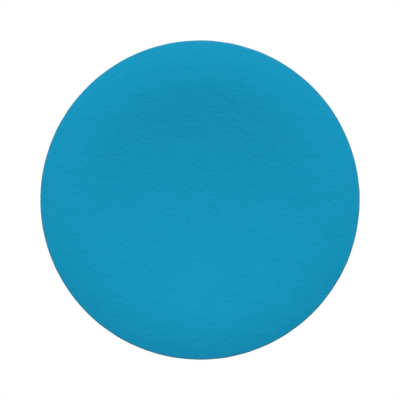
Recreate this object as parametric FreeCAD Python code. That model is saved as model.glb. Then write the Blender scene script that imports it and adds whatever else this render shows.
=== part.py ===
"""Disc air stone, 4-inch class: a porous dished stone on a weighted base with a swivelling hose nozzle.

Air enters the nozzle, turns up through the elbow's stem, lifts the check valve's plunger and spreads under
the stone. The base holds a steel ballast ring and stands on four suction cups.

Millimetres. +Z is up, Z = 0 is the plane under the suction cups' lips, and the Z axis is the disc's axis.
The nozzle points to -Y at rest. Outlines that are turned about the Z axis are given as (radius, height).
"""
import FreeCAD, Part
import math
import os
from FreeCAD import Vector

# ---- Driving dimensions -----------------------------------------------------------------------------------
DISC_D = 100.0            # stone diameter, which is the whole outline seen from above
TOTAL_H = 40.0            # from the cups' lips to the stone's rim
CUP_H = 12.0              # clear height under the base
BASE_H = 10.0             # height of the lower shell
FLOOR_T = 2.5             # floors of the tray and of the cover
WALL_T = 2.2              # side walls of the tray and of the cover
PLENUM_H = 2.5            # air space between the tray's floor and the stone
RUN = 0.05                # running clearance round anything that turns
LOOSE = 0.2               # clearance beside parts that only drop into place
FIXING_R = 37.0           # circle of the screws, the cups and the drain holes
SAME_PLACE = 0.01         # two places nearer than this are the same place

# ---- Stone and its seal -----------------------------------------------------------------------------------
STONE_R = DISC_D / 2
CROWN_R = 0.8 * STONE_R              # highest ring of the face
DISH_SLOPE = 0.10                    # steepest slope inside the rim
DISH_ANGLE = math.atan(DISH_SLOPE)
BOWL_ROUND = 250.0                   # radius of curvature of the bowl
RIM_ROUND = 61.0                     # radius of curvature over the rim
EDGE_ROUND = 0.4                     # upper edge
FOOT_ROUND = 0.8                     # lower edge
STONE_DRAFT = 0.4                    # how far the side leans in, for the mould
RECESS_R = 9.0                       # hollow over the check valve
RECESS_H = 1.5
SEAT_DEPTH = 3.0                     # how deep the stone's spigot sits in the tray
SEAL_T = 0.6                         # seal between the tray's rim and the stone
SEAL_LEG = 1.0                       # seal between the tray's wall and the spigot

# ---- Shells -----------------------------------------------------------------------------------------------
OVERHANG = 4.0                       # the stone hides the shells from above
TRAY_R = STONE_R - OVERHANG
TRAY_TAPER = 0.4                     # both shells taper downwards
COVER_TAPER = 1.6
TRAY_FOOT_R = TRAY_R - TRAY_TAPER
COVER_FOOT_R = TRAY_FOOT_R - COVER_TAPER
JOINT_CHAMFER = 0.4                  # shadow line between the two shells
COVER_ROUND = 3.0
FLUTE_COUNT = 72                     # flutes round the tray, to grip it with wet hands
FLUTE_R = 1.3                        # radius across each flute
FLUTE_DEPTH = 0.5
FLUTE_MARGIN = 1.2                   # plain band above and below the flutes
TRAY_IN_R = (TRAY_R + TRAY_FOOT_R) / 2 - WALL_T          # walls have their full thickness half way up
COVER_IN_R = (TRAY_FOOT_R + COVER_FOOT_R) / 2 - WALL_T
SPIGOT_R = TRAY_IN_R - SEAL_LEG
LEDGE_W = 2.1                        # ledge that carries the spigot
LEDGE_R = SPIGOT_R - LEDGE_W
LOCATING_T = 1.4                     # lip under the tray, which centres it in the cover
LOCATING_H = 1.5
HUB_R = 12.0
HUB_DROP = 2.0                       # how far the hub stands out below the cover
HUB_GAP = 0.4                        # between the hub and the cover's opening
RIB_COUNT = 8
RIB_T = 1.6
BAFFLE_R = 27.0                      # low round rib that spreads the air
BAFFLE_H = 1.5
DRAIN_ANGLES = (65, 115, 245, 295)
DRAIN_R = 1.8

# ---- Ballast ----------------------------------------------------------------------------------------------
BALLAST_R = 32.0
BALLAST_GAP = 0.3                    # round the hub
BALLAST_IN_R = HUB_R + BALLAST_GAP
BALLAST_H = 6.5
BALLAST_EDGE = 0.5
PAD_INSET = 0.6

# ---- Screws -----------------------------------------------------------------------------------------------
SCREW_ANGLES = (0, 90, 180, 270)
SCREW_TURN = 35                      # each screw stopped at a different turn
HEAD_R = 2.8
HEAD_RIM = 0.2                       # straight edge of the countersunk head
HEAD_H = 1.6
CREST_R = 1.45                       # thread crests, which bite into the bosses
ROOT_R = 1.1
PITCH = 0.8
THREADS = 6
POINT_H = 0.9
CROSS_L = 3.0
CROSS_W = 0.6
CROSS_DEPTH = 1.1
BOSS_R = 3.6
BOSS_HOLE_R = 1.25
BOSS_HOLE_EXTRA = 1.0                # how far the boss's hole goes on into the tray's floor
COVER_HOLE_R = 1.6
HEAD_GAP = 0.05

# ---- Suction cups -----------------------------------------------------------------------------------------
CUP_ANGLE = 38.0                     # each cup's angle from the X axis
CUPS = {
    "suction_cup_front_left": 180 + CUP_ANGLE,
    "suction_cup_front_right": -CUP_ANGLE,
    "suction_cup_back_left": 180 - CUP_ANGLE,
    "suction_cup_back_right": CUP_ANGLE,
}
LIP_R = 9.5
LIP_IN_R = 8.6
LIP_T = 0.7
HOLLOW_H = 4.2
STEM_FOOT_Z = 7.6                    # top of the cup's bell
BELL_MID = (5.8, 3.3)                # half way along the bell's outer curve
HOLLOW_MID = (5.4, 2.7)              # half way along the hollow's curve
CUP_STEM_R = 4.4
CUP_NECK_R = 2.6                     # turns in the cover's hole
BULB_R = 3.7
BULB_H = 3.6
BULB_RIM = 0.8
BULB_TOP_R = 1.4
TAB_REACH = 12.6                     # release tab, from the cup's axis
TAB_W = 5.0
TAB_T = 1.1
TAB_Z = 0.3
TAB_ROUND = 2.0
TAB_TURN = 100                       # from the radial direction, which keeps tabs under the disc

# ---- Swivel nozzle ----------------------------------------------------------------------------------------
ARM_Z = 5.6                          # height of the hose's axis
ARM_R = 4.2
ELBOW_R = 4.9
SHOULDER_W = 2.0
SHOULDER_CHAMFER = 0.4
LAND_START = 27.5                    # the hose pushes up to here
LAND_R = 3.3                         # smooth seat, for hose of 6 mm bore
LAND_LENGTH = 6.0
BARB_COUNT = 3
BARB_PITCH = 4.0
BARB_ROOT_R = 2.65
BARB_STEP = 0.5
BARB_CREST = 0.4
AIR_R = 1.9
STEM_AIR_R = 2.4
COLLAR_R = 8.25                      # held between the hub's step and the circlip
COLLAR_H = 1.4
SWIVEL_BORE_R = 6.5
STEM_GAP = 0.07                      # round the stem, which the O-rings steady
STEM_R = SWIVEL_BORE_R - STEM_GAP
STEM_H = 4.6
STEM_HEADROOM = 0.15                 # between the stem and the valve
STEM_CHAMFER = 0.3
RING_CORD_R = 0.63                   # swivel O-rings
RING_GROOVE_R = 5.2
RING_GROOVE_W = 1.5
RING_STEPS = (0.5, 2.5)              # heights of the two grooves above the collar
CLIP_T = 1.0
CLIP_LIFT = 0.8                      # circlip groove above the hub's lower end
CLIP_R = 9.0
CLIP_IN_R = 7.4
CLIP_OPENING = 5.6
CLIP_LUG_R = 1.5
CLIP_LUG_AT = 7.2
CLIP_LUG_ANGLE = 24
CLIP_EYE_R = 0.6
CLIP_GAP = 0.1
THRUST_T = 0.5

# ---- Check valve ------------------------------------------------------------------------------------------
VALVE_R = 7.5
VALVE_IN_R = 5.2
SEAT_R = 2.4
SEAT_LIP_W = 0.5
SEAT_LIP_H = 0.4
SEAT_LIP_SLOPE = 0.2
SEAT_FLOOR_T = 1.4
VALVE_RING_CORD_R = 0.54
VALVE_GROOVE_R = 6.4
VALVE_GROOVE_W = 1.3
VALVE_GROOVE_LIFT = 2.0
FACE_R = 3.6                         # rubber washer under the plunger
FACE_T = 0.9
POPPET_R = 4.2
POPPET_T = 0.9
STUD_R = 0.9
GUIDE_R = 1.0
GUIDE_GAP = 0.08
SPRING_ROOM = 3.0                    # height between the plunger and the cap
SPRING_WIRE_R = 0.2
SPRING_R = 2.3
SPRING_TURNS = 3
SPRING_GAP = 0.3                     # between the spring and the cap's pocket
CAP_T = 1.0
CAP_PLUG = 0.5
CAP_WINDOWS = 6
CAP_WINDOW_R = 0.85
CAP_WINDOW_AT = 3.9
TOUCH_GAP = 0.02                     # between faces that only touch

# ---- Heights worked out from these ------------------------------------------------------------------------
BASE_Z = CUP_H                       # underside of the cover
COVER_FLOOR_Z = BASE_Z + FLOOR_T     # the ballast stands here
TRAY_Z = BASE_Z + BASE_H             # joint between the cover and the tray
TRAY_FLOOR_Z = TRAY_Z + FLOOR_T      # floor of the air space
STONE_Z = TRAY_FLOOR_Z + PLENUM_H    # underside of the stone's spigot
TRAY_RIM_Z = STONE_Z + SEAT_DEPTH
FLANGE_Z = TRAY_RIM_Z + SEAL_T       # underside of the stone's overhang

HUB_Z = BASE_Z - HUB_DROP
CLIP_Z = HUB_Z + CLIP_LIFT
THRUST_Z = CLIP_Z + CLIP_T + CLIP_GAP
COLLAR_Z = THRUST_Z + THRUST_T
COLLAR_TOP_Z = COLLAR_Z + COLLAR_H
STEM_TOP_Z = COLLAR_TOP_Z + STEM_H
NOZZLE_TIP = LAND_START + LAND_LENGTH + BARB_COUNT * BARB_PITCH

VALVE_Z = STEM_TOP_Z + STEM_HEADROOM
SEAT_FLOOR_Z = VALVE_Z + SEAT_FLOOR_T
SEAT_Z = SEAT_FLOOR_Z + SEAT_LIP_H
FACE_Z = SEAT_Z + TOUCH_GAP
POPPET_Z = FACE_Z + FACE_T
POPPET_TOP_Z = POPPET_Z + POPPET_T
CAP_Z = POPPET_TOP_Z + SPRING_ROOM

Z_AXIS = Vector(0, 0, 1)
ORIGIN = Vector(0, 0, 0)


# ---- Tools ------------------------------------------------------------------------------------------------
def turned(start, *steps):
    """Solid turned about the Z axis from a closed outline. A step (r, z) is a line to that point. A step
    (r, z, r_mid, z_mid) is an arc to it through the middle point."""
    edges = []
    here = Vector(start[0], 0, start[1])
    for step in steps + (start,):
        there = Vector(step[0], 0, step[1])
        if len(step) == 4:
            edges.append(Part.Arc(here, Vector(step[2], 0, step[3]), there).toShape())
        else:
            edges.append(Part.makeLine(here, there))
        here = there
    return Part.Face(Part.Wire(edges)).revolve(ORIGIN, Z_AXIS, 360)


def rod(r, z0, z1, x=0.0, y=0.0):
    """Upright cylinder from z0 to z1."""
    return Part.makeCylinder(r, z1 - z0, Vector(x, y, z0), Z_AXIS)


def tube(r_in, r_out, z0, z1):
    """Upright tube from z0 to z1."""
    return rod(r_out, z0, z1).cut(rod(r_in, z0, z1))


def polar(radius, degrees):
    """(x, y) of a place on a circle round the Z axis."""
    angle = math.radians(degrees)
    return radius * math.cos(angle), radius * math.sin(angle)


def round_edges(solid, radius, *places):
    """Fillets the edges that run round the Z axis at the given (r, z) places."""
    found = []
    for edge in solid.Edges:
        if edge.Degenerated or not isinstance(edge.Curve, Part.Circle):
            continue
        centre = edge.Curve.Center
        for r, z in places:
            if math.dist((centre.x, centre.y, centre.z, edge.Curve.Radius), (0, 0, z, r)) < SAME_PLACE:
                found.append(edge)
    return solid.makeFillet(radius, found)


def o_ring(r_in, cord_r, z):
    """O-ring with its inside at r_in."""
    return Part.makeTorus(r_in + cord_r, cord_r, Vector(0, 0, z), Z_AXIS)


def along_nozzle(solid):
    """Lays a solid turned about Z down along the nozzle, its +Z end towards the hose."""
    laid = solid.copy()
    laid.rotate(ORIGIN, Vector(1, 0, 0), 90)
    laid.translate(Vector(0, 0, ARM_Z))
    return laid


# ---- Stone and seal ---------------------------------------------------------------------------------------
def stone_disc():
    """Porous stone: bowl, cone and rounded rim, all tangent, a spigot for the tray, and a hollow under it."""
    rim_centre_z = TOTAL_H - RIM_ROUND
    cone_r = CROWN_R - RIM_ROUND * math.sin(DISH_ANGLE)
    cone_z = rim_centre_z + RIM_ROUND * math.cos(DISH_ANGLE)
    bowl_r = BOWL_ROUND * math.sin(DISH_ANGLE)
    bowl_z = cone_z - (cone_r - bowl_r) * math.tan(DISH_ANGLE)
    low_z = bowl_z - BOWL_ROUND * (1 - math.cos(DISH_ANGLE))
    half = DISH_ANGLE / 2
    bowl_mid = (BOWL_ROUND * math.sin(half), low_z + BOWL_ROUND * (1 - math.cos(half)))
    edge_z = rim_centre_z + math.sqrt(RIM_ROUND**2 - (STONE_R - CROWN_R) ** 2)
    foot_r = STONE_R - STONE_DRAFT

    stone = turned(
        (0, low_z),
        (bowl_r, bowl_z, *bowl_mid),
        (cone_r, cone_z),
        (STONE_R, edge_z, CROWN_R, TOTAL_H),
        (foot_r, FLANGE_Z),
        (SPIGOT_R, FLANGE_Z),
        (SPIGOT_R, STONE_Z),
        (RECESS_R, STONE_Z),
        (RECESS_R, STONE_Z + RECESS_H),
        (0, STONE_Z + RECESS_H),
    )
    stone = round_edges(stone, EDGE_ROUND, (STONE_R, edge_z))
    return round_edges(stone, FOOT_ROUND, (foot_r, FLANGE_Z))


def stone_seal():
    """L-section ring: one leg round the stone's spigot, one leg on the tray's rim."""
    return turned(
        (SPIGOT_R, STONE_Z),
        (TRAY_IN_R, STONE_Z),
        (TRAY_IN_R, TRAY_RIM_Z),
        (TRAY_R, TRAY_RIM_Z),
        (TRAY_R, FLANGE_Z),
        (SPIGOT_R, FLANGE_Z),
    )


# ---- Tray -------------------------------------------------------------------------------------------------
def hub_bore():
    """The hub's stepped bore: counterbore for the collar, circlip groove, swivel bore and valve pocket."""
    bore = rod(COLLAR_R + RUN, HUB_Z, COLLAR_TOP_Z + RUN)
    bore = bore.fuse(rod(CLIP_R, CLIP_Z, CLIP_Z + CLIP_T + CLIP_GAP))
    bore = bore.fuse(rod(SWIVEL_BORE_R, HUB_Z, VALVE_Z))
    return bore.fuse(rod(VALVE_R, VALVE_Z, STONE_Z))


def grip_flutes():
    """Upright rods that cut the flutes into the tray's wall."""
    middle_r = (TRAY_R + TRAY_FOOT_R) / 2 + FLUTE_R - FLUTE_DEPTH
    rod_at_x = rod(FLUTE_R, TRAY_Z + FLUTE_MARGIN, TRAY_RIM_Z - FLUTE_MARGIN, middle_r)
    rods = []
    for k in range(FLUTE_COUNT):
        placed = rod_at_x.copy()
        placed.rotate(ORIGIN, Z_AXIS, (k + 0.5) * 360 / FLUTE_COUNT)
        rods.append(placed)
    return rods


def air_tray():
    """Tray under the stone: ledge and ribs that carry it, hub, screw bosses and outer grip flutes."""
    tray = turned(
        (0, TRAY_Z),
        (TRAY_FOOT_R - JOINT_CHAMFER, TRAY_Z),
        (TRAY_FOOT_R, TRAY_Z + JOINT_CHAMFER),
        (TRAY_R, TRAY_RIM_Z),
        (TRAY_IN_R, TRAY_RIM_Z),
        (TRAY_IN_R, STONE_Z),
        (LEDGE_R, STONE_Z),
        (LEDGE_R, TRAY_FLOOR_Z),
        (0, TRAY_FLOOR_Z),
    )
    lip_r = COVER_IN_R - LOOSE
    tray = tray.fuse(tube(lip_r - LOCATING_T, lip_r, TRAY_Z - LOCATING_H, TRAY_Z))
    tray = tray.fuse(tube(BAFFLE_R - RIB_T / 2, BAFFLE_R + RIB_T / 2, TRAY_FLOOR_Z, TRAY_FLOOR_Z + BAFFLE_H))
    tray = tray.fuse(rod(HUB_R, HUB_Z, TRAY_Z))
    rib = Part.makeBox(LEDGE_R - HUB_R + RIB_T, RIB_T, PLENUM_H, Vector(HUB_R, -RIB_T / 2, TRAY_FLOOR_Z))
    for k in range(RIB_COUNT):
        placed = rib.copy()
        placed.rotate(ORIGIN, Z_AXIS, (k + 0.5) * 360 / RIB_COUNT)
        tray = tray.fuse(placed)
    for angle in SCREW_ANGLES:
        x, y = polar(FIXING_R, angle)
        tray = tray.fuse(rod(BOSS_R, COVER_FLOOR_Z, TRAY_Z, x, y))
        tray = tray.cut(rod(BOSS_HOLE_R, COVER_FLOOR_Z, TRAY_Z + BOSS_HOLE_EXTRA, x, y))
    return tray.cut(hub_bore()).removeSplitter().cut(grip_flutes())


# ---- Base -------------------------------------------------------------------------------------------------
def base_cover():
    """Lower shell: closes the ballast space and holds the suction cups. Its holes let water in and out."""
    opening_r = HUB_R + HUB_GAP
    cover = turned(
        (opening_r, BASE_Z),
        (COVER_FOOT_R, BASE_Z),
        (TRAY_FOOT_R, TRAY_Z - JOINT_CHAMFER),
        (TRAY_FOOT_R - JOINT_CHAMFER, TRAY_Z),
        (COVER_IN_R, TRAY_Z),
        (COVER_IN_R, COVER_FLOOR_Z),
        (opening_r, COVER_FLOOR_Z),
    )
    cover = round_edges(cover, COVER_ROUND, (COVER_FOOT_R, BASE_Z))
    countersink = turned(
        (0, BASE_Z),
        (HEAD_R + HEAD_GAP, BASE_Z),
        (HEAD_R + HEAD_GAP, BASE_Z + HEAD_RIM),
        (COVER_HOLE_R, BASE_Z + HEAD_H),
        (COVER_HOLE_R, COVER_FLOOR_Z),
        (0, COVER_FLOOR_Z),
    )
    for angle in SCREW_ANGLES:
        placed = countersink.copy()
        placed.translate(Vector(*polar(FIXING_R, angle), 0))
        cover = cover.cut(placed)
    for angle in CUPS.values():
        cover = cover.cut(rod(CUP_NECK_R + RUN, BASE_Z, COVER_FLOOR_Z, *polar(FIXING_R, angle)))
    for angle in DRAIN_ANGLES:
        cover = cover.cut(rod(DRAIN_R, BASE_Z, COVER_FLOOR_Z, *polar(FIXING_R, angle)))
    return cover


def ballast_ring():
    """Steel ring with rounded edges."""
    top_z = COVER_FLOOR_Z + BALLAST_H
    corners = [(r, z) for r in (BALLAST_IN_R, BALLAST_R) for z in (COVER_FLOOR_Z, top_z)]
    return round_edges(tube(BALLAST_IN_R, BALLAST_R, COVER_FLOOR_Z, top_z), BALLAST_EDGE, *corners)


def ballast_pad():
    """Foam ring between the ballast and the tray."""
    return tube(BALLAST_IN_R + PAD_INSET, BALLAST_R - PAD_INSET, COVER_FLOOR_Z + BALLAST_H, TRAY_Z)


def cover_screw():
    """Countersunk screw standing on its head, with a ringed thread and a cross recess."""
    outline = [(HEAD_R, 0), (HEAD_R, HEAD_RIM), (CREST_R, HEAD_H)]
    for k in range(THREADS):
        z = HEAD_H + (k + 0.5) * PITCH
        outline += [(ROOT_R, z), (CREST_R, z + PITCH / 2)]
    top_z = HEAD_H + THREADS * PITCH + POINT_H
    screw = turned((0, 0), *outline, (0, top_z))
    for degrees in (0, 90):
        slot = Part.makeBox(CROSS_L, CROSS_W, CROSS_DEPTH, Vector(-CROSS_L / 2, -CROSS_W / 2, 0))
        slot.rotate(ORIGIN, Z_AXIS, degrees)
        screw = screw.cut(slot)
    return screw


def cover_screws():
    screws = []
    for k, angle in enumerate(SCREW_ANGLES):
        screw = cover_screw()
        screw.rotate(ORIGIN, Z_AXIS, k * SCREW_TURN)
        screw.translate(Vector(*polar(FIXING_R, angle), BASE_Z))
        screws.append(screw)
    return Part.makeCompound(screws)


def release_tab():
    """Finger tab at the edge of a cup's lip, along +X."""
    tab = Part.makeBox(TAB_REACH - LIP_IN_R, TAB_W, TAB_T, Vector(LIP_IN_R, -TAB_W / 2, TAB_Z))
    corners = []
    for edge in tab.Edges:
        low, high = edge.BoundBox.ZMin, edge.BoundBox.ZMax
        if edge.BoundBox.XMin > TAB_REACH - SAME_PLACE and high - low > TAB_T - SAME_PLACE:
            corners.append(edge)
    return tab.makeFillet(TAB_ROUND, corners)


def suction_cup(degrees):
    """Soft cup: lip, hollow bell, stem up to the cover, neck through it and a bulb that holds it there."""
    stem_top_z = BASE_Z - RUN
    bulb_z = COVER_FLOOR_Z + RUN
    cup = turned(
        (0, HOLLOW_H),
        (LIP_IN_R, 0, *HOLLOW_MID),
        (LIP_R, 0),
        (LIP_R, LIP_T),
        (CUP_STEM_R, STEM_FOOT_Z, *BELL_MID),
        (CUP_STEM_R, stem_top_z),
        (CUP_NECK_R, stem_top_z),
        (CUP_NECK_R, bulb_z),
        (BULB_R, bulb_z),
        (BULB_R, bulb_z + BULB_RIM),
        (BULB_TOP_R, bulb_z + BULB_H),
        (0, bulb_z + BULB_H),
    )
    cup = cup.fuse(release_tab()).removeSplitter()
    x, y = polar(FIXING_R, degrees)
    cup.rotate(ORIGIN, Z_AXIS, degrees - math.copysign(TAB_TURN, x * y))
    cup.translate(Vector(x, y, 0))
    return cup


# ---- Swivel nozzle ----------------------------------------------------------------------------------------
def hose_end():
    """Smooth seat and barbs, turned about Z with the shoulder's end at the bottom."""
    outline = [(LAND_R, LAND_START), (LAND_R, LAND_START + LAND_LENGTH)]
    for k in range(BARB_COUNT):
        z = LAND_START + LAND_LENGTH + k * BARB_PITCH
        outline += [(BARB_ROOT_R, z), (LAND_R, z + BARB_STEP), (LAND_R, z + BARB_STEP + BARB_CREST)]
    return turned((0, LAND_START), *outline, (BARB_ROOT_R, NOZZLE_TIP), (0, NOZZLE_TIP))


def hose_shoulder():
    """Ring that stops the hose, turned about Z."""
    low_z = LAND_START - SHOULDER_W
    return turned(
        (0, low_z),
        (ELBOW_R - SHOULDER_CHAMFER, low_z),
        (ELBOW_R, low_z + SHOULDER_CHAMFER),
        (ELBOW_R, LAND_START - SHOULDER_CHAMFER),
        (ELBOW_R - SHOULDER_CHAMFER, LAND_START),
        (0, LAND_START),
    )


def swivel_stem():
    """Upright part of the elbow, with the collar and two O-ring grooves."""
    stem = turned(
        (0, ARM_Z),
        (ELBOW_R, ARM_Z),
        (ELBOW_R, COLLAR_Z),
        (COLLAR_R, COLLAR_Z),
        (COLLAR_R, COLLAR_TOP_Z),
        (STEM_R, COLLAR_TOP_Z),
        (STEM_R, STEM_TOP_Z - STEM_CHAMFER),
        (STEM_R - STEM_CHAMFER, STEM_TOP_Z),
        (0, STEM_TOP_Z),
    )
    for step in RING_STEPS:
        z = COLLAR_TOP_Z + step
        stem = stem.cut(tube(RING_GROOVE_R, COLLAR_R, z, z + RING_GROOVE_W))
    return stem


def nozzle_elbow():
    """Elbow with a stem that turns in the hub and a barbed end for the hose."""
    elbow = swivel_stem().fuse(Part.makeSphere(ELBOW_R, Vector(0, 0, ARM_Z)))
    for piece in (rod(ARM_R, 0, LAND_START - SHOULDER_W), hose_shoulder(), hose_end()):
        elbow = elbow.fuse(along_nozzle(piece))
    elbow = elbow.cut(rod(STEM_AIR_R, ARM_Z, STEM_TOP_Z)).cut(along_nozzle(rod(AIR_R, 0, NOZZLE_TIP)))
    return elbow.removeSplitter()


def swivel_o_rings():
    """Two rings in the stem's grooves."""
    heights = [COLLAR_TOP_Z + step + RING_GROOVE_W / 2 for step in RING_STEPS]
    return Part.makeCompound([o_ring(RING_GROOVE_R, RING_CORD_R, z) for z in heights])


def thrust_washer():
    """Slippery washer between the collar and the circlip."""
    return tube(ELBOW_R + LOOSE, COLLAR_R - LOOSE, THRUST_Z, THRUST_Z + THRUST_T)


def circlip():
    """Internal circlip: an open ring in the hub's groove, with an eyed lug at each end."""
    top_z = CLIP_Z + CLIP_T
    clip = tube(CLIP_IN_R, CLIP_R - RUN, CLIP_Z, top_z)
    clip = clip.cut(Part.makeBox(CLIP_R, CLIP_OPENING, CLIP_T, Vector(0, -CLIP_OPENING / 2, CLIP_Z)))
    for side in (-1, 1):
        x, y = polar(CLIP_LUG_AT, CLIP_LUG_ANGLE * side)
        clip = clip.fuse(rod(CLIP_LUG_R, CLIP_Z, top_z, x, y)).cut(rod(CLIP_EYE_R, CLIP_Z, top_z, x, y))
    return clip.removeSplitter()


# ---- Check valve ------------------------------------------------------------------------------------------
def valve_body():
    """Cartridge with a raised seat, an outside groove for its O-ring and an open top."""
    outer_r = VALVE_R - TOUCH_GAP
    groove_z = VALVE_Z + VALVE_GROOVE_LIFT
    return turned(
        (SEAT_R, VALVE_Z),
        (outer_r, VALVE_Z),
        (outer_r, groove_z),
        (VALVE_GROOVE_R, groove_z),
        (VALVE_GROOVE_R, groove_z + VALVE_GROOVE_W),
        (outer_r, groove_z + VALVE_GROOVE_W),
        (outer_r, CAP_Z),
        (VALVE_IN_R, CAP_Z),
        (VALVE_IN_R, SEAT_FLOOR_Z),
        (SEAT_R + SEAT_LIP_W + SEAT_LIP_SLOPE, SEAT_FLOOR_Z),
        (SEAT_R + SEAT_LIP_W, SEAT_Z),
        (SEAT_R, SEAT_Z),
    )


def valve_o_ring():
    return o_ring(VALVE_GROOVE_R, VALVE_RING_CORD_R, VALVE_Z + VALVE_GROOVE_LIFT + VALVE_GROOVE_W / 2)


def valve_cap():
    """Cage over the cartridge, with air windows and the plunger's guide hole."""
    plug_z = CAP_Z - CAP_PLUG
    top_z = CAP_Z + CAP_T
    cap = rod(VALVE_R - LOOSE, CAP_Z, top_z).fuse(rod(VALVE_IN_R - RUN, plug_z, CAP_Z))
    cap = cap.cut(rod(SPRING_R + SPRING_WIRE_R + SPRING_GAP, plug_z, CAP_Z))
    cap = cap.cut(rod(GUIDE_R + GUIDE_GAP, plug_z, top_z))
    for k in range(CAP_WINDOWS):
        cap = cap.cut(rod(CAP_WINDOW_R, plug_z, top_z, *polar(CAP_WINDOW_AT, k * 360 / CAP_WINDOWS)))
    return cap.removeSplitter()


def valve_poppet():
    """Plunger: a disc with a guide pin above it and a stud for the washer below it."""
    disc = rod(POPPET_R, POPPET_Z, POPPET_TOP_Z)
    pin = rod(GUIDE_R, POPPET_TOP_Z, CAP_Z + CAP_T)
    stud = rod(STUD_R, FACE_Z, POPPET_Z)
    return disc.fuse(pin).fuse(stud).removeSplitter()


def valve_washer():
    """Rubber face of the plunger."""
    return tube(STUD_R, FACE_R, FACE_Z, POPPET_Z)


def valve_spring():
    """Light compression spring between the plunger and the cap."""
    height = SPRING_ROOM - 2 * (SPRING_WIRE_R + TOUCH_GAP)
    path = Part.Wire(Part.makeLongHelix(height / SPRING_TURNS, height, SPRING_R).Edges)
    path.translate(Vector(0, 0, POPPET_TOP_Z + SPRING_WIRE_R + TOUCH_GAP))
    first = path.Edges[0]
    start = first.valueAt(first.FirstParameter)
    along = first.tangentAt(first.FirstParameter)
    section = Part.Wire(Part.makeCircle(SPRING_WIRE_R, start, along))
    return path.makePipeShell([section], True, True)


# ---- Build ------------------------------------------------------------------------------------------------
def build():
    """Every piece, by its node's name."""
    makers = (
        stone_disc, stone_seal, air_tray, base_cover, ballast_ring, ballast_pad, cover_screws,
        nozzle_elbow, swivel_o_rings, thrust_washer, circlip,
        valve_body, valve_o_ring, valve_cap, valve_poppet, valve_washer, valve_spring,
    )
    nodes = {maker.__name__: maker() for maker in makers}
    for name, degrees in CUPS.items():
        nodes[name] = suction_cup(degrees)
    return nodes


os.makedirs("parts", exist_ok=True)
for name, shape in build().items():
    if not shape.isValid() or shape.Volume <= 0:
        raise ValueError(f"{name} isn't a valid solid")
    print(f"{name}: {len(shape.Solids)} solid(s), {shape.Volume:.1f} mm3")
    shape.exportStep(f"parts/{name}.step")
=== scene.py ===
"""Looks of the disc air stone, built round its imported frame.

Lengths are in metres, in the frame's axes: +Z is up and the nozzle points to -Y. The stone gets a new, finer
skin. The other pieces keep their CAD shapes and get their materials here.
"""
import math

import bpy
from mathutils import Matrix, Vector, noise


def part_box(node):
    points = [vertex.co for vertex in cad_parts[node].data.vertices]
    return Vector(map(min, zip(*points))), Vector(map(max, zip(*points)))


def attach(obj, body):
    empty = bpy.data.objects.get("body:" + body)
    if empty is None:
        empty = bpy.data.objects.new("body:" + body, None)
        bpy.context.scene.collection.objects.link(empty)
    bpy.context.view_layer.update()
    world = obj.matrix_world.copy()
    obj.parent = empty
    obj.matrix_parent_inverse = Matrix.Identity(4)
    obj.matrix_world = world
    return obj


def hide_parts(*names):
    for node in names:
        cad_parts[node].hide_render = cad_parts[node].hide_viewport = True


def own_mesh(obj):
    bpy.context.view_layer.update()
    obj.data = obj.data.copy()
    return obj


MM = 0.001

# ---- The stone's outline, as in the CAD model -------------------------------------------------------------
CROWN_SHARE = 0.8          # radius of the face's highest ring, as a share of the stone's radius
DISH_SLOPE = 0.10          # steepest slope inside the rim
BOWL_ROUND = 250 * MM      # radius of curvature in the middle of the face
RIM_ROUND = 61 * MM        # the same, along its highest ring
EDGE_ROUND = 0.4 * MM
FOOT_ROUND = 0.8 * MM
STONE_DRAFT = 0.4 * MM     # how much smaller the side's radius is at its foot
SPIGOT_R = 42.6 * MM       # the part under the side's foot, inside the seal
RECESS_R = 9.0 * MM        # hollow in the middle of the lowest face
RECESS_H = 1.5 * MM

# ---- The stone's skin -------------------------------------------------------------------------------------
SKIN_STEP = 0.35 * MM      # distance between neighbouring points of the skin
RING_GROWTH = 6            # points on the face's first ring; the second has twice as many, and so on
HIDDEN_STEP = 2.0 * MM     # distance between rings under the stone, doubled on its lowest face
HIDDEN_THINNING = 4        # how many times fewer points there are round the hidden rings
LEAST_AROUND = 24          # fewest points round any hidden ring
ROUND_STEPS = 4            # steps along each small rounding
PEBBLE = 2.0 * MM          # width of one bump of the mesh's own grain
PEBBLE_H = 0.03 * MM
PEBBLE_STEEPNESS = 2.0     # how fast a pebble rises from its crease
SWELL = 5.0 * MM           # width of the low swells under the grain
SWELL_H = 0.06 * MM
GRAIN = 1.0 * MM           # width of one bump of the shaded grain
GRAIN_H = 0.052 * MM
GRIT = 0.45 * MM           # width of one grain of grit
GRIT_H = 0.012 * MM
PORE = 0.32 * MM           # spacing of the open pores on the stone's side
PORE_H = 0.08 * MM
EDGE_SHADE_IN = (0.8 * MM, 0.1 * MM)   # painted edge shade grows outwards between these depths inside the stone's side
EDGE_SHADE_UP = (0.9 * MM, 0.3 * MM)   # and upwards between these depths under its edge

# ---- Colours and levels -----------------------------------------------------------------------------------
BLUE = (0.0054, 0.279, 0.478)
# darker, greyer blue painted along the stone's upper edge as shade
EDGE_SHADE_BLUE = (0.035, 0.235, 0.37)
CHARCOAL = (0.030, 0.034, 0.040)
GLOSS_BLACK = (0.018, 0.020, 0.024)
STEEL = (0.56, 0.57, 0.58)
ACETAL = (0.72, 0.72, 0.68)
SILICONE = (0.018, 0.018, 0.019)
WHITE = (1.0, 1.0, 1.0)
PATCH = (0.3, 0.7)         # levels of soft noise between which a patch changes its shade
ROUGHNESS_SPREAD = 0.06    # how much a plastic's roughness varies, each way
FINE_PORE = (0.10, 0.35)   # distances from a cell's middle, in cells, between which a pore's painted shade fades out
OPEN_PORE = (0.15, 0.50)   # the same, for the pores on the stone's side
SIDEWAYS = (0.3, 0.9)      # upward part of the normal, from the stone's side to its face
SHARP = (0.86, 0.99)       # agreement of the rounded and flat normals, from a sharp edge to a flat place
SQUARE_ON = (0.08, 0.25)   # how slantwise the floor is seen, where it goes from white to its own shade
FAR = (0.3, 0.9)           # distances in metres over which the floor turns white

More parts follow.
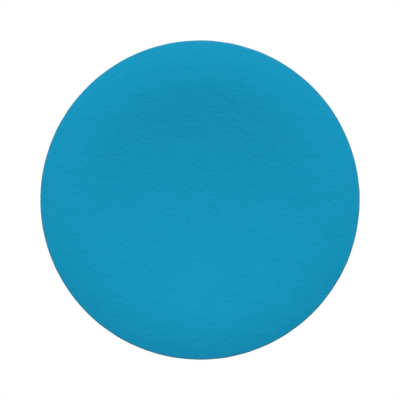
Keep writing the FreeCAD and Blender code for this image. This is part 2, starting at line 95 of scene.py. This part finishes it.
# ---- Camera and light -------------------------------------------------------------------------------------
LENS = 100.0               # millimetres, on a 36 mm sensor
SENSOR = 36.0
DISC_SHARE = 0.801         # the disc's width, as a share of the picture
STAGE_R = 4.0              # radius of the floor, in metres
STAGE_SIDES = 64
WORLD_LIGHT = 0.458        # for this and the next two, 1 would light a white surface to full white
KEY_LIGHT = 1.016
BODY_LIGHT = 0.6


# ---- Meshes -----------------------------------------------------------------------------------------------
def mesh_object(name, points, faces):
    mesh = bpy.data.meshes.new(name)
    mesh.from_pydata(points, [], faces)
    mesh.shade_smooth()
    made = bpy.data.objects.new(name, mesh)
    bpy.context.scene.collection.objects.link(made)
    return made


def arc(centre, radius, start, end, count):
    """Points of an arc in the (radius, height) plane, angles in degrees, without its first point."""
    angles = [math.radians(start + (end - start) * (k + 1) / count) for k in range(count)]
    return [(centre[0] + radius * math.cos(a), centre[1] + radius * math.sin(a)) for a in angles]


def straight(start, end, step):
    """Evenly spaced points from start to end, without the first."""
    count = max(1, round(math.dist(start, end) / step))
    return [tuple(a + (b - a) * (k + 1) / count for a, b in zip(start, end)) for k in range(count)]


def zip_rings(inner, outer):
    """Triangles between two rings of vertex numbers that start at the same angle. One may be a point."""
    steps_in = len(inner) if len(inner) > 1 else 0
    steps_out = len(outer) if len(outer) > 1 else 0
    faces = []
    i = j = 0
    while i < steps_in or j < steps_out:
        corner = (inner[i % len(inner)], outer[j % len(outer)])
        if i >= steps_in or (j < steps_out and (j + 1) * len(inner) <= (i + 1) * len(outer)):
            j += 1
            faces.append((*corner, outer[j % len(outer)]))
        else:
            i += 1
            faces.append((*corner, inner[i % len(inner)]))
    return faces


# ---- The stone --------------------------------------------------------------------------------------------
def face_height(r, crown_r, top_z):
    """Height of the face at radius r: a bowl, a straight cone and a rounded rim, all tangent."""
    tilt = math.atan(DISH_SLOPE)
    cone_r = crown_r - RIM_ROUND * math.sin(tilt)
    bowl_r = BOWL_ROUND * math.sin(tilt)
    if r >= cone_r:
        return top_z - RIM_ROUND + math.sqrt(RIM_ROUND**2 - (r - crown_r) ** 2)
    cone_z = top_z - RIM_ROUND * (1 - math.cos(tilt))
    if r >= bowl_r:
        return cone_z - (cone_r - r) * DISH_SLOPE
    bowl_z = cone_z - (cone_r - bowl_r) * DISH_SLOPE
    return bowl_z + BOWL_ROUND * math.cos(tilt) - math.sqrt(BOWL_ROUND**2 - r**2)


def stone_radius():
    """The stone's radius to 0.1 mm, because the flat faces of its CAD mesh make its box a little small."""
    return round(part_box("stone_disc")[1].x, 4)


def stone_outline():
    """Rings of the stone from the middle of its face, over the edge and under to the middle again, as
    (radius, height, number of points, share of the grain)."""
    low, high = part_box("stone_disc")
    flange_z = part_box("stone_seal")[1].z
    stone_r = stone_radius()
    crown_r = CROWN_SHARE * stone_r

    round_r = stone_r - EDGE_ROUND
    face_steps = round(round_r / SKIN_STEP)
    radii = [round_r * k / face_steps for k in range(face_steps + 1)]
    rings = [(r, face_height(r, crown_r, high.z), max(1, RING_GROWTH * k), 1.0) for k, r in enumerate(radii)]

    around = RING_GROWTH * face_steps
    side = arc((round_r, rings[-1][1] - EDGE_ROUND), EDGE_ROUND, 90, 0, ROUND_STEPS)
    foot_r = stone_r - STONE_DRAFT
    side += straight(side[-1], (foot_r, flange_z + FOOT_ROUND), SKIN_STEP)
    side += arc((foot_r - FOOT_ROUND, flange_z + FOOT_ROUND), FOOT_ROUND, 0, -90, ROUND_STEPS)
    rings += [(r, z, around, 1.0) for r, z in side]

    under = straight((foot_r - FOOT_ROUND, flange_z), (SPIGOT_R, flange_z), HIDDEN_STEP)
    under += straight((SPIGOT_R, flange_z), (SPIGOT_R, low.z), HIDDEN_STEP)
    under += straight((SPIGOT_R, low.z), (RECESS_R, low.z), 2 * HIDDEN_STEP)
    under += straight((RECESS_R, low.z), (RECESS_R, low.z + RECESS_H), HIDDEN_STEP)
    for r, z in under:
        rings.append((r, z, max(LEAST_AROUND, round(around * r / stone_r / HIDDEN_THINNING)), 0.0))
    rings.append((0.0, low.z + RECESS_H, 1, 0.0))
    return rings


def grain_height(point):
    """Leathery grain: low pebbles with soft creases between them, over wider swells."""
    near, second = noise.voronoi(point / PEBBLE)[0][:2]
    pebble = min(1.0, (second - near) * PEBBLE_STEEPNESS)
    return PEBBLE_H * (pebble - 0.5) + SWELL_H * noise.noise(point / SWELL)


def porous_stone():
    """The stone's skin. Its grain moves each point along the outline's own normal there."""
    rings = stone_outline()
    points, faces, numbers = [], [], []
    for k, (r, z, around, share) in enumerate(rings):
        before = rings[max(k - 1, 0)]
        after = rings[min(k + 1, len(rings) - 1)]
        along = Vector((after[0] - before[0], 0, after[1] - before[1])).normalized()
        ring = []
        for i in range(around):
            angle = 2 * math.pi * i / around
            out = Vector((math.cos(angle), math.sin(angle), 0))
            point = r * out + Vector((0, 0, z))
            if share:
                point += (out * -along.z + Vector((0, 0, along.x))) * (share * grain_height(point))
            ring.append(len(points))
            points.append(point)
        if numbers:
            faces += zip_rings(numbers[-1], ring)
        numbers.append(ring)
    stone = mesh_object("porous_stone", points, faces)
    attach(stone, "base")
    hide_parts("stone_disc")
    return stone


# ---- Materials --------------------------------------------------------------------------------------------
class Nodes:
    """A material's node tree, with short ways to add and join nodes."""

    def __init__(self, name):
        self.material = bpy.data.materials.new(name)
        self.material.use_nodes = True
        self.tree = self.material.node_tree
        self.surface = self.tree.nodes["Principled BSDF"]
        self.place = self.add("ShaderNodeTexCoord").outputs["Object"]

    def add(self, kind, **settings):
        made = self.tree.nodes.new(kind)
        for name, value in settings.items():
            setattr(made, name, value)
        return made

    def join(self, source, target):
        self.tree.links.new(source, target)

    def set(self, **values):
        """Sets inputs of the surface. An underscore stands for a space."""
        for name, value in values.items():
            self.surface.inputs[name.replace("_", " ")].default_value = value

    def noise(self, width, detail=2.0, roughness=0.5):
        """Soft noise with bumps about this wide, from 0 to 1."""
        made = self.add("ShaderNodeTexNoise")
        self.join(self.place, made.inputs["Vector"])
        made.inputs["Scale"].default_value = 1 / width
        made.inputs["Detail"].default_value = detail
        made.inputs["Roughness"].default_value = roughness
        return made.outputs["Fac"]

    def cells(self, width, place=None):
        """Distance from the middles of cells about this wide."""
        made = self.add("ShaderNodeTexVoronoi")
        self.join(place or self.place, made.inputs["Vector"])
        made.inputs["Scale"].default_value = 1 / width
        return made.outputs["Distance"]

    def warped(self, width, shift):
        """Places moved at random by up to this shift, in patches about this wide."""
        offset = self.add("ShaderNodeTexNoise")
        self.join(self.place, offset.inputs["Vector"])
        offset.inputs["Scale"].default_value = 1 / width
        made = self.add("ShaderNodeVectorMath", operation="MULTIPLY_ADD")
        self.join(offset.outputs["Color"], made.inputs[0])
        made.inputs[1].default_value = (2 * shift,) * 3
        self.join(self.place, made.inputs[2])
        return made.outputs["Vector"]

    def ramp(self, source, low, high, low_colour, high_colour):
        """Colours between two levels of source."""
        made = self.add("ShaderNodeValToRGB")
        self.join(source, made.inputs["Fac"])
        first, last = made.color_ramp.elements
        first.position, last.position = low, high
        first.color, last.color = (*low_colour, 1), (*high_colour, 1)
        return made.outputs["Color"]

    def patches(self, width, low_colour, high_colour, detail=2.0):
        """Soft patches about this wide, from one colour to the other."""
        return self.ramp(self.noise(width, detail), *PATCH, low_colour, high_colour)

    def levels(self, source, low, high, to_low, to_high):
        """Values between two levels of source."""
        made = self.add("ShaderNodeMapRange")
        self.join(source, made.inputs["Value"])
        made.inputs["From Min"].default_value = low
        made.inputs["From Max"].default_value = high
        made.inputs["To Min"].default_value = to_low
        made.inputs["To Max"].default_value = to_high
        return made.outputs["Result"]

    def mixed(self, first, second, mode="MULTIPLY", share=None):
        """Two colours mixed, all over or as much as share says."""
        made = self.add("ShaderNodeMix", data_type="RGBA", blend_type=mode)
        made.inputs["Factor"].default_value = 1.0
        if share:
            self.join(share, made.inputs["Factor"])
        self.join(first, made.inputs["A"])
        self.join(second, made.inputs["B"])
        return made.outputs["Result"]

    def bump(self, height, depth, under=None):
        """Relief of this depth in metres, on top of an earlier one."""
        made = self.add("ShaderNodeBump")
        made.inputs["Distance"].default_value = depth
        self.join(height, made.inputs["Height"])
        if under:
            self.join(under, made.inputs["Normal"])
        return made.outputs["Normal"]

    def rounded(self, radius):
        """Normals with the sharp edges rounded to this radius."""
        made = self.add("ShaderNodeBevel", samples=6)
        made.inputs["Radius"].default_value = radius
        return made.outputs["Normal"]

    def edges(self, rounded):
        """1 where the rounded normals leave the flat ones, along sharp edges, and 0 elsewhere."""
        geometry = self.add("ShaderNodeNewGeometry")
        dot = self.add("ShaderNodeVectorMath", operation="DOT_PRODUCT")
        self.join(rounded, dot.inputs[0])
        self.join(geometry.outputs["Normal"], dot.inputs[1])
        return self.levels(dot.outputs["Value"], *SHARP, 1.0, 0.0)

    def product(self, first, second):
        made = self.add("ShaderNodeMath", operation="MULTIPLY")
        self.join(first, made.inputs[0])
        self.join(second, made.inputs[1])
        return made.outputs["Value"]

    def worn_or_shaded(self, colour, wear_or_shade_colour, wear_or_shade):
        """Colour with a flat colour over it, as much as the share says, from 0 to 1: rubbed wear on the
        plastics, and painted shade along the stone's upper edge.
        """
        made = self.add("ShaderNodeMix", data_type="RGBA")
        self.join(wear_or_shade, made.inputs["Factor"])
        self.join(colour, made.inputs["A"])
        made.inputs["B"].default_value = (*wear_or_shade_colour, 1)
        return made.outputs["Result"]


def grey(level):
    return (level,) * 3


def dimmed(colour, share):
    return tuple(share * c for c in colour)


def paler(colour):
    """The colour of rubbed plastic."""
    return tuple(min(1.0, 2.2 * c + 0.02) for c in colour)


def side_share(look):
    """1 on the stone's side and 0 on its face."""
    facing = look.add("ShaderNodeSeparateXYZ")
    look.join(look.add("ShaderNodeNewGeometry").outputs["Normal"], facing.inputs[0])
    return look.levels(facing.outputs["Z"], *SIDEWAYS, 1.0, 0.0)


def painted_edge_shade(look):
    """How much painted shade darkens the stone, from 0 to 1: only along its upper edge, and in patches."""
    stone_r = stone_radius()
    edge_z = face_height(stone_r, CROWN_SHARE * stone_r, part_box("stone_disc")[1].z)
    parts = look.add("ShaderNodeSeparateXYZ")
    look.join(look.place, parts.inputs[0])
    flat = look.add("ShaderNodeVectorMath", operation="MULTIPLY")
    look.join(look.place, flat.inputs[0])
    flat.inputs[1].default_value = (1, 1, 0)
    radius = look.add("ShaderNodeVectorMath", operation="LENGTH")
    look.join(flat.outputs["Vector"], radius.inputs[0])
    outer = look.levels(radius.outputs["Value"], *(stone_r - depth for depth in EDGE_SHADE_IN), 0.0, 1.0)
    upper = look.levels(parts.outputs["Z"], *(edge_z - depth for depth in EDGE_SHADE_UP), 0.0, 1.0)
    patchy = look.levels(look.noise(2.5 * MM), *PATCH, to_low=0.6, to_high=1.0)
    return look.product(look.product(outer, upper), patchy)


def stone_material():
    """Dyed porous stone: matt, with fine grain, pores with painted shade in them that open on its side, and
    greyer painted shade along its upper edge.
    """
    look = Nodes("blue_porous_stone")
    side = side_share(look)
    shade = look.patches(9 * MM, grey(0.98), WHITE)
    # painted shade in the pores: darker specks, 0.90 on the face and 0.58 in the open pores on the side
    fine_pore_shade = look.ramp(look.cells(GRIT), *FINE_PORE, grey(0.90), WHITE)
    open_cells = look.cells(PORE, look.warped(2 * PORE, PORE))
    open_pores_with_painted_shade = look.ramp(open_cells, *OPEN_PORE, grey(0.58), WHITE)
    tone = look.mixed(shade, look.mixed(fine_pore_shade, open_pores_with_painted_shade, "MIX", side))
    colour = look.add("ShaderNodeRGB")
    colour.outputs[0].default_value = (*BLUE, 1)
    dyed = look.mixed(colour.outputs[0], tone)
    # painted shade: a darker, greyer blue along the stone's upper edge
    look.join(look.worn_or_shaded(dyed, EDGE_SHADE_BLUE, painted_edge_shade(look)), look.surface.inputs["Base Color"])
    grain = look.bump(look.cells(GRAIN), GRAIN_H)
    grit = look.bump(look.cells(GRIT), GRIT_H, grain)
    look.join(look.bump(look.product(side, open_pores_with_painted_shade), PORE_H, grit), look.surface.inputs["Normal"])
    look.set(Roughness=0.85, Specular_IOR_Level=0.08)
    return look.material


def moulded_plastic(name, colour, roughness, texture=0.55 * MM, depth=0.035 * MM):
    """Moulded plastic: a fine spark-eroded texture, softened edges, and paler rubbed patches on them."""
    look = Nodes(name)
    soft = look.rounded(0.25 * MM)
    plain = look.patches(7 * MM, dimmed(colour, 0.82), colour, detail=3.0)
    blotches = look.noise(1.8 * MM, detail=3.0)
    here_and_there = look.levels(blotches, low=0.45, high=0.65, to_low=0.0, to_high=0.7)
    rubbed = look.product(look.edges(soft), here_and_there)
    look.join(look.worn_or_shaded(plain, paler(colour), rubbed), look.surface.inputs["Base Color"])
    smoother, rougher = roughness - ROUGHNESS_SPREAD, roughness + ROUGHNESS_SPREAD
    uneven = look.levels(look.noise(4 * MM, detail=3.0), *PATCH, smoother, rougher)
    look.join(uneven, look.surface.inputs["Roughness"])
    look.join(look.bump(look.noise(texture), depth, soft), look.surface.inputs["Normal"])
    return look.material


def patchy_look(name, low, high, patch_width, bump_width, bump_depth, softness,
                patch_detail=2.0, bump_detail=2.0):
    """A surface in patches of two colours, with one relief over softened edges."""
    look = Nodes(name)
    look.join(look.patches(patch_width, low, high, patch_detail), look.surface.inputs["Base Color"])
    relief = look.bump(look.noise(bump_width, bump_detail), bump_depth, look.rounded(softness))
    look.join(relief, look.surface.inputs["Normal"])
    return look


def brushed_metal(name, colour, roughness):
    look = patchy_look(
        name,
        low=dimmed(colour, 0.8),
        high=colour,
        patch_width=1.5 * MM,
        patch_detail=4.0,
        bump_width=0.2 * MM,
        bump_depth=0.003 * MM,
        bump_detail=3.0,
        softness=0.1 * MM,
    )
    look.set(Metallic=1.0, Roughness=roughness)
    return look.material


def coated_steel():
    """Epoxy powder coat, with its orange-peel relief."""
    look = patchy_look(
        "powder_coated_steel",
        low=(0.035, 0.038, 0.042),
        high=(0.05, 0.055, 0.06),
        patch_width=4 * MM,
        bump_width=0.9 * MM,
        bump_depth=0.04 * MM,
        bump_detail=1.0,
        softness=0.4 * MM,
    )
    look.set(Roughness=0.45)
    return look.material


def foam():
    """Closed cells, dark in their middles."""
    look = Nodes("closed_cell_foam")
    cells = look.cells(0.5 * MM)
    shades = look.ramp(
        cells,
        low=0.0,
        high=0.6,
        low_colour=(0.03, 0.03, 0.032),
        high_colour=(0.09, 0.09, 0.095),
    )
    look.join(shades, look.surface.inputs["Base Color"])
    look.join(look.bump(cells, 0.1 * MM), look.surface.inputs["Normal"])
    look.set(Roughness=0.95)
    return look.material


def soft_vinyl():
    """Soft, faintly blue, see-through vinyl of the suction cups."""
    look = patchy_look(
        "clear_vinyl",
        low=(0.50, 0.57, 0.61),
        high=(0.60, 0.67, 0.70),
        patch_width=5 * MM,
        bump_width=1.6 * MM,
        bump_depth=0.012 * MM,
        softness=0.3 * MM,
    )
    look.set(Roughness=0.16, Transmission_Weight=0.75, IOR=1.45)
    look.set(Subsurface_Weight=0.3, Subsurface_Scale=3 * MM, Subsurface_Radius=(0.8, 1.0, 1.0))
    return look.material


def rubber(name, colour):
    look = patchy_look(
        name,
        low=dimmed(colour, 0.7),
        high=colour,
        patch_width=2 * MM,
        bump_width=0.4 * MM,
        bump_depth=0.01 * MM,
        softness=0.2 * MM,
    )
    look.set(Roughness=0.6)
    return look.material


def paint(piece, material):
    piece.data.materials.clear()
    piece.data.materials.append(material)


def paint_pieces(nodes):
    """One finish for each CAD node."""
    shell = moulded_plastic("charcoal_shell", CHARCOAL, 0.55)
    steel = brushed_metal("stainless_steel", STEEL, 0.3)
    acetal = moulded_plastic("natural_acetal", ACETAL, 0.35)
    seal = rubber("black_silicone", SILICONE)
    vinyl = soft_vinyl()
    gloss = moulded_plastic("gloss_nozzle", GLOSS_BLACK, 0.32, texture=0.9 * MM, depth=0.012 * MM)
    finishes = {
        "air_tray": shell,
        "base_cover": shell,
        "stone_seal": seal,
        "swivel_o_rings": seal,
        "valve_o_ring": seal,
        "valve_washer": seal,
        "ballast_ring": coated_steel(),
        "ballast_pad": foam(),
        "cover_screws": steel,
        "circlip": steel,
        "valve_spring": steel,
        "valve_body": acetal,
        "valve_cap": acetal,
        "valve_poppet": acetal,
        "thrust_washer": acetal,
        "nozzle_elbow": gloss,
    }
    for name, node in nodes.items():
        paint(node, vinyl if name.startswith("suction_cup") else finishes.get(name, shell))


# ---- Stage ------------------------------------------------------------------------------------------------
def floor_material():
    """Pale floor. Seen from straight above, and far away, it is plain white."""
    look = Nodes("pale_floor")
    look.set(Base_Color=(0.86, 0.86, 0.86, 1), Roughness=0.9, Specular_IOR_Level=0.1)
    white = look.add("ShaderNodeEmission")
    facing = look.add("ShaderNodeLayerWeight")
    facing.inputs["Blend"].default_value = 0.5
    above = look.levels(facing.outputs["Facing"], *SQUARE_ON, 1.0, 0.0)
    distance = look.add("ShaderNodeVectorMath", operation="LENGTH")
    look.join(look.place, distance.inputs[0])
    far = look.levels(distance.outputs["Value"], *FAR, 0.0, 1.0)
    share = look.add("ShaderNodeMath", operation="MAXIMUM")
    look.join(above, share.inputs[0])
    look.join(far, share.inputs[1])
    blend = look.add("ShaderNodeMixShader")
    look.join(share.outputs[0], blend.inputs["Fac"])
    look.join(look.surface.outputs["BSDF"], blend.inputs[1])
    look.join(white.outputs["Emission"], blend.inputs[2])
    look.join(blend.outputs["Shader"], look.tree.nodes["Material Output"].inputs["Surface"])
    return look.material


def make_floor():
    angles = [2 * math.pi * k / STAGE_SIDES for k in range(STAGE_SIDES)]
    rim = [(STAGE_R * math.cos(angle), STAGE_R * math.sin(angle), 0.0) for angle in angles]
    floor = mesh_object("floor", rim, [tuple(range(STAGE_SIDES))])
    paint(floor, floor_material())


def make_world(light):
    """White where the camera sees it, and a soft even light of the given level for everything else."""
    world = bpy.data.worlds.new("studio")
    world.use_nodes = True
    bpy.context.scene.world = world
    tree = world.node_tree
    background = tree.nodes["Background"]
    seen = tree.nodes.new("ShaderNodeBackground")
    path = tree.nodes.new("ShaderNodeLightPath")
    blend = tree.nodes.new("ShaderNodeMixShader")
    background.inputs["Color"].default_value = (1, 1, 1, 1)
    background.inputs["Strength"].default_value = light
    seen.inputs["Color"].default_value = (1, 1, 1, 1)
    tree.links.new(path.outputs["Is Camera Ray"], blend.inputs["Fac"])
    tree.links.new(background.outputs[0], blend.inputs[1])
    tree.links.new(seen.outputs[0], blend.inputs[2])
    tree.links.new(blend.outputs[0], tree.nodes["World Output"].inputs["Surface"])
    world.cycles.sampling_method = "NONE"    # an even world has no bright spots to aim at


def soft_light(name, azimuth, elevation, level, size=1.5, distance=6.0):
    """Square soft light aimed at the disc from this azimuth and elevation, in degrees. Level 1 lights a
    white surface that faces it to full white."""
    lamp = bpy.data.lights.new(name, "AREA")
    lamp.shape = "SQUARE"
    lamp.size = size
    lamp.energy = level * (math.pi * distance) ** 2
    made = bpy.data.objects.new(name, lamp)
    a, e = math.radians(azimuth), math.radians(elevation)
    back = Vector((math.sin(a) * math.cos(e), -math.cos(a) * math.cos(e), math.sin(e)))
    target = Vector((0, 0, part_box("stone_disc")[1].z))
    made.location = target + back * distance
    made.rotation_mode = "QUATERNION"
    made.rotation_quaternion = (-back).to_track_quat("-Z", "Y")
    made.visible_camera = False
    bpy.context.scene.collection.objects.link(made)
    return made


def make_lights(body_nodes):
    """The stone is lit from the back, as from the top of the picture. One more light reaches only the pieces
    under it, so that their shapes read from the front too."""
    make_world(WORLD_LIGHT)
    soft_light("key_light", azimuth=180, elevation=35, level=KEY_LIGHT)
    lit = bpy.data.collections.new("lit_by_body_light")
    for node in body_nodes:
        lit.objects.link(node)
    body_light = soft_light("body_light", azimuth=20, elevation=18, level=BODY_LIGHT, size=3.0)
    body_light.light_linking.receiver_collection = lit


def make_camera():
    """Straight above the disc, with the nozzle towards the bottom of the picture."""
    low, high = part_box("stone_disc")
    camera = bpy.data.cameras.new("camera")
    camera.lens = LENS
    camera.sensor_width = SENSOR
    made = bpy.data.objects.new("camera", camera)
    width = (high.x - low.x) / DISC_SHARE
    made.location = (0, 0, high.z + width * LENS / SENSOR)
    bpy.context.scene.collection.objects.link(made)
    bpy.context.scene.camera = made


# ---- Build ------------------------------------------------------------------------------------------------
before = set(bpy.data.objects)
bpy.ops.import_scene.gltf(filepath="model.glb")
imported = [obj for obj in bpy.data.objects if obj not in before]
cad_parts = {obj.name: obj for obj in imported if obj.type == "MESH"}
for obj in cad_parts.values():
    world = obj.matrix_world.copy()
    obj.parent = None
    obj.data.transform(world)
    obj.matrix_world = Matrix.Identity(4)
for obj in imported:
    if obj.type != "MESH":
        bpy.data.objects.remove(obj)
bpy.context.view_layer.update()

stone = porous_stone()
paint_pieces(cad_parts)
paint(stone, stone_material())
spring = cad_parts["valve_spring"]
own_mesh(spring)

make_floor()
make_lights(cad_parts.values())
make_camera()
bpy.context.scene.view_settings.view_transform = "Standard"
